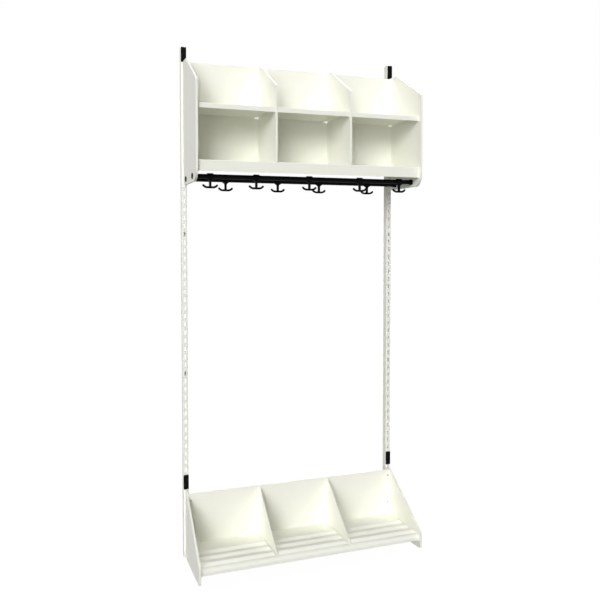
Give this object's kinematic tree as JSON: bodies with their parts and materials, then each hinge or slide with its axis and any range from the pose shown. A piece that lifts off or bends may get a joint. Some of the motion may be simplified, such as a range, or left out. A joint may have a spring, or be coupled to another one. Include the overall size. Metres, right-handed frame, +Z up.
{
  "type": "wall-hung cloakroom rack",
  "caption": "Wall-hung cloakroom rack: slotted rails carry an open cubby shelf with black hook tubes and sliding anchor hooks, and a sloping shoe rack with dividers.",
  "frame": {"origin": "centre of the four outer wall screws, on the wall face behind the rails", "axes": "+X to the right seen from the front, +Y into the wall, +Z up; the front faces -Y"},
  "size_m": [0.9, 0.326, 2],
  "materials": {
    "ivory_coat": "fine satin powder coat on sheet steel",
    "black_coat": "satin black powder coat on steel tube",
    "black_plastic": "moulded, fine matte",
    "zinc_screw": "zinc-plated pan heads"
  },
  "bodies": {
    "rack": {"bottom_shelf": "ivory_coat", "front_hook_tube": "black_coat", "front_tube_left_collar": "black_plastic", "front_tube_left_plug": "black_plastic", "front_tube_right_collar": "black_plastic", "front_tube_right_plug": "black_plastic", "left_rail": "ivory_coat", "lower_left_lock": "black_plastic", "lower_right_lock": "black_plastic", "mid_shelf_1": "ivory_coat", "mid_shelf_2": "ivory_coat", "mid_shelf_3": "ivory_coat", "rear_hook_tube": "black_coat", "rear_tube_left_collar": "black_plastic", "rear_tube_left_plug": "black_plastic", "rear_tube_right_collar": "black_plastic", "rear_tube_right_plug": "black_plastic", "right_rail": "ivory_coat", "shoe_back_panel": "ivory_coat", "shoe_divider_1": "ivory_coat", "shoe_divider_2": "ivory_coat", "shoe_floor": "ivory_coat", "shoe_left_hanger": "ivory_coat", "shoe_left_high_screw": "zinc_screw", "shoe_left_low_screw": "zinc_screw", "shoe_left_panel": "ivory_coat", "shoe_right_hanger": "ivory_coat", "shoe_right_high_screw": "zinc_screw", "shoe_right_low_screw": "zinc_screw", "shoe_right_panel": "ivory_coat", "upper_back_panel": "ivory_coat", "upper_divider_1": "ivory_coat", "upper_divider_2": "ivory_coat", "upper_left_hanger": "ivory_coat", "upper_left_lock": "black_plastic", "upper_left_panel": "ivory_coat", "upper_right_hanger": "ivory_coat", "upper_right_lock": "black_plastic", "upper_right_panel": "ivory_coat"},
    "front_hook_1": {"front_hook_1": "black_plastic"},
    "front_hook_2": {"front_hook_2": "black_plastic"},
    "front_hook_3": {"front_hook_3": "black_plastic"},
    "front_hook_4": {"front_hook_4": "black_plastic"},
    "front_hook_5": {"front_hook_5": "black_plastic"},
    "rear_hook_1": {"rear_hook_1": "black_plastic"},
    "rear_hook_2": {"rear_hook_2": "black_plastic"},
    "rear_hook_3": {"rear_hook_3": "black_plastic"},
    "rear_hook_4": {"rear_hook_4": "black_plastic"}
  },
  "joints": [
    {"name": "front_hook_1_slide", "type": "slide", "parent": "rack", "child": "front_hook_1", "axis": [1, 0, 0], "range_m": [-0.0336, 0.0559]},
    {"name": "front_hook_2_slide", "type": "slide", "parent": "rack", "child": "front_hook_2", "axis": [1, 0, 0], "range_m": [-0.0559, 0.074]},
    {"name": "front_hook_3_slide", "type": "slide", "parent": "rack", "child": "front_hook_3", "axis": [1, 0, 0], "range_m": [-0.074, 0.074]},
    {"name": "front_hook_4_slide", "type": "slide", "parent": "rack", "child": "front_hook_4", "axis": [1, 0, 0], "range_m": [-0.074, 0.0553]},
    {"name": "front_hook_5_slide", "type": "slide", "parent": "rack", "child": "front_hook_5", "axis": [1, 0, 0], "range_m": [-0.0553, 0.035]},
    {"name": "rear_hook_1_slide", "type": "slide", "parent": "rack", "child": "rear_hook_1", "axis": [1, 0, 0], "range_m": [-0.1216, 0.0751]},
    {"name": "rear_hook_2_slide", "type": "slide", "parent": "rack", "child": "rear_hook_2", "axis": [1, 0, 0], "range_m": [-0.0751, 0.0568]},
    {"name": "rear_hook_3_slide", "type": "slide", "parent": "rack", "child": "rear_hook_3", "axis": [1, 0, 0], "range_m": [-0.0568, 0.0759]},
    {"name": "rear_hook_4_slide", "type": "slide", "parent": "rack", "child": "rear_hook_4", "axis": [1, 0, 0], "range_m": [-0.0759, 0.1098]}
  ]
}
